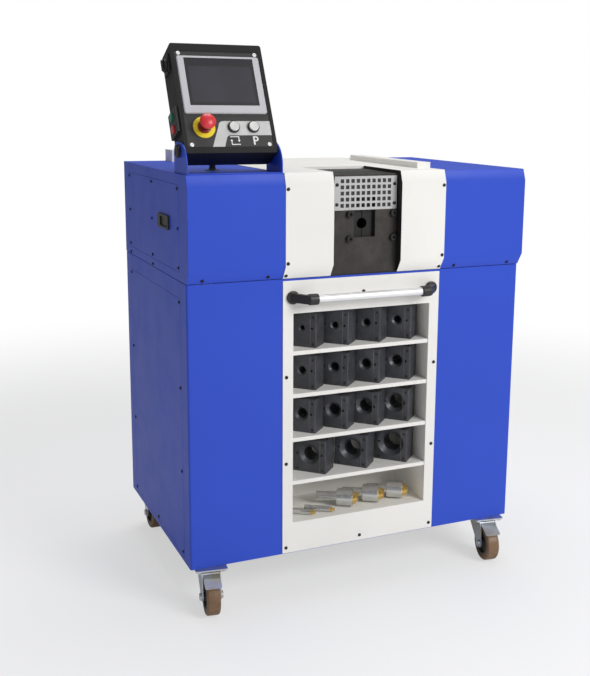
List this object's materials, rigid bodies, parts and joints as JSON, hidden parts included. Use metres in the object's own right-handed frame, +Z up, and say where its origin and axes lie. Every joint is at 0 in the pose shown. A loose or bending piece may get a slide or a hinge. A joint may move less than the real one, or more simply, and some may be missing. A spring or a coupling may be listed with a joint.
{
  "type": "hose crimping machine",
  "caption": "Hydraulic crimping and tube-end forming press: cabinet on casters, clamping head behind a guard, die rack and tilting control panel.",
  "frame": {"origin": "middle of the footprint at floor level, under the wheels", "axes": "+Z up, front with the clamping head and the die rack towards -Y, control panel towards -X"},
  "size_m": [0.9768, 0.7074, 1.458],
  "materials": {
    "blue_paint": "semi-gloss powder coat",
    "white_paint": "fine textured powder coat",
    "grey_paint": "satin",
    "black_paint": "fine textured powder coat",
    "dark_steel": "blackened, oiled",
    "bright_steel": "ground",
    "hard_chrome": "polished rod",
    "zinc_steel": "zinc plated",
    "anodised_aluminium": "satin anodised",
    "brass_metal": "turned",
    "cast_iron_frame": "machined and painted",
    "black_plastic": "grained",
    "dark_plastic": "printed foil, fine grain",
    "silver_paint": "satin",
    "white_plastic": "moulded",
    "yellow_plastic": "moulded",
    "red_plastic": "moulded",
    "green_plastic": "moulded",
    "screen_glass": "anti-glare touch glass",
    "amber_tyre": "polyurethane tread",
    "cable_sheath": "matt sheath"
  },
  "bodies": {
    "machine": {"base_tray": "grey_paint", "lower_cabinet": "blue_paint", "rear_panel": "blue_paint", "side_access_panels": "blue_paint", "upper_left_cover": "blue_paint", "upper_right_cover": "blue_paint", "side_latches": "black_plastic", "centre_hood": "white_paint", "top_covers": "white_paint", "inner_frame": "grey_paint", "rack_panel": "white_paint", "rack_box": "white_paint", "rack_shelves": "white_paint", "upper_die_blocks": "dark_steel", "lower_die_blocks": "dark_steel", "mandrel_bodies": "bright_steel", "mandrel_tips": "brass_metal", "handle_bar": "anodised_aluminium", "handle_ends": "black_plastic", "head_front_plate": "dark_steel", "head_frame": "cast_iron_frame", "fixed_jaw": "bright_steel", "hydraulic_cylinders": "grey_paint", "guard_plate": "grey_paint", "large_screws": "dark_steel", "cover_screws": "zinc_steel", "panel_bracket": "blue_paint", "cable_glands": "black_plastic", "panel_cable": "cable_sheath", "oil_tank": "grey_paint", "motor_pump_set": "grey_paint", "valve_block": "bright_steel", "front_caster_plates": "zinc_steel", "rear_caster_forks": "zinc_steel"},
    "clamp_ram": {"moving_jaw": "bright_steel", "clamp_piston": "hard_chrome"},
    "forming_ram": {"forming_ram": "hard_chrome"},
    "control_panel": {"panel_enclosure": "black_paint", "panel_front_plate": "dark_plastic", "screen_bezel": "silver_paint", "screen_glass": "screen_glass", "stop_ring": "yellow_plastic", "button_bezels": "black_plastic", "side_switch_housings": "black_plastic", "panel_gland": "black_plastic"},
    "stop_stem": {"stop_stem": "red_plastic"},
    "stop_head": {"stop_head": "red_plastic"},
    "cycle_button": {"cycle_button": "white_plastic"},
    "program_button": {"program_button": "white_plastic"},
    "start_button": {"start_button": "green_plastic"},
    "stop_button": {"stop_button": "red_plastic"},
    "main_switch_knob": {"main_switch_knob": "black_plastic"},
    "front_left_fork": {"front_left_fork": "zinc_steel"},
    "front_left_pedal": {"front_left_pedal": "zinc_steel"},
    "front_left_wheel": {"front_left_wheel": "amber_tyre"},
    "rear_left_wheel": {"rear_left_wheel": "amber_tyre"},
    "front_right_fork": {"front_right_fork": "zinc_steel"},
    "front_right_pedal": {"front_right_pedal": "zinc_steel"},
    "front_right_wheel": {"front_right_wheel": "amber_tyre"},
    "rear_right_wheel": {"rear_right_wheel": "amber_tyre"}
  },
  "joints": [
    {"name": "clamp_slide", "type": "slide", "parent": "machine", "child": "clamp_ram", "axis": [1, 0, 0], "range_m": [0, 0.02]},
    {"name": "forming_slide", "type": "slide", "parent": "machine", "child": "forming_ram", "axis": [0, -1, 0], "range_m": [0, 0.04]},
    {"name": "panel_tilt", "type": "hinge", "parent": "machine", "child": "control_panel", "pos_m": [-0.3531, -0.23945, 1.19762], "axis": [1, 0, 0], "range_deg": [-20, 20], "deforming": ["panel_cable"]},
    {"name": "stop_press", "type": "slide", "parent": "control_panel", "child": "stop_stem", "axis": [0, 0.8949, -0.4462], "range_m": [0, 0.006], "stiffness_N_per_m": 900},
    {"name": "stop_twist", "type": "hinge", "parent": "stop_stem", "child": "stop_head", "pos_m": [-0.4161, -0.28918, 1.27493], "axis": [0, 0.8949, -0.4462], "range_deg": [0, 45], "stiffness_Nm_per_rad": 0.05},
    {"name": "cycle_press", "type": "slide", "parent": "control_panel", "child": "cycle_button", "axis": [0, 0.8949, -0.4462], "range_m": [0, 0.0035], "stiffness_N_per_m": 500},
    {"name": "program_press", "type": "slide", "parent": "control_panel", "child": "program_button", "axis": [0, 0.8949, -0.4462], "range_m": [0, 0.0035], "stiffness_N_per_m": 500},
    {"name": "start_press", "type": "slide", "parent": "control_panel", "child": "start_button", "axis": [1, 0, 0], "range_m": [0, 0.0025], "stiffness_N_per_m": 500},
    {"name": "stop_button_press", "type": "slide", "parent": "control_panel", "child": "stop_button", "axis": [1, 0, 0], "range_m": [0, 0.0025], "stiffness_N_per_m": 500},
    {"name": "main_switch_turn", "type": "hinge", "parent": "control_panel", "child": "main_switch_knob", "pos_m": [-0.4771, -0.1337, 1.40301], "axis": [-1, 0, 0], "range_deg": [0, 90]},
    {"name": "front_left_swivel", "type": "hinge", "parent": "machine", "child": "front_left_fork", "pos_m": [-0.4231, -0.26225, 0.106], "axis": [0, 0, 1], "continuous": true},
    {"name": "front_left_brake", "type": "hinge", "parent": "front_left_fork", "child": "front_left_pedal", "pos_m": [-0.42783, -0.29592, 0.111], "axis": [0.9903, -0.1392, 0], "range_deg": [-14, 3]},
    {"name": "front_left_roll", "type": "hinge", "parent": "front_left_fork", "child": "front_left_wheel", "pos_m": [-0.42811, -0.2979, 0.05], "axis": [0.9903, -0.1392, 0], "continuous": true},
    {"name": "rear_left_roll", "type": "hinge", "parent": "machine", "child": "rear_left_wheel", "pos_m": [-0.4231, 0.30175, 0.05], "axis": [1, 0, 0], "continuous": true},
    {"name": "front_right_swivel", "type": "hinge", "parent": "machine", "child": "front_right_fork", "pos_m": [0.4249, -0.26225, 0.106], "axis": [0, 0, 1], "continuous": true},
    {"name": "front_right_brake", "type": "hinge", "parent": "front_right_fork", "child": "front_right_pedal", "pos_m": [0.42017, -0.29592, 0.111], "axis": [0.9903, -0.1392, 0], "range_deg": [-14, 3]},
    {"name": "front_right_roll", "type": "hinge", "parent": "front_right_fork", "child": "front_right_wheel", "pos_m": [0.41989, -0.2979, 0.05], "axis": [0.9903, -0.1392, 0], "continuous": true},
    {"name": "rear_right_roll", "type": "hinge", "parent": "machine", "child": "rear_right_wheel", "pos_m": [0.4249, 0.30175, 0.05], "axis": [1, 0, 0], "continuous": true}
  ]
}
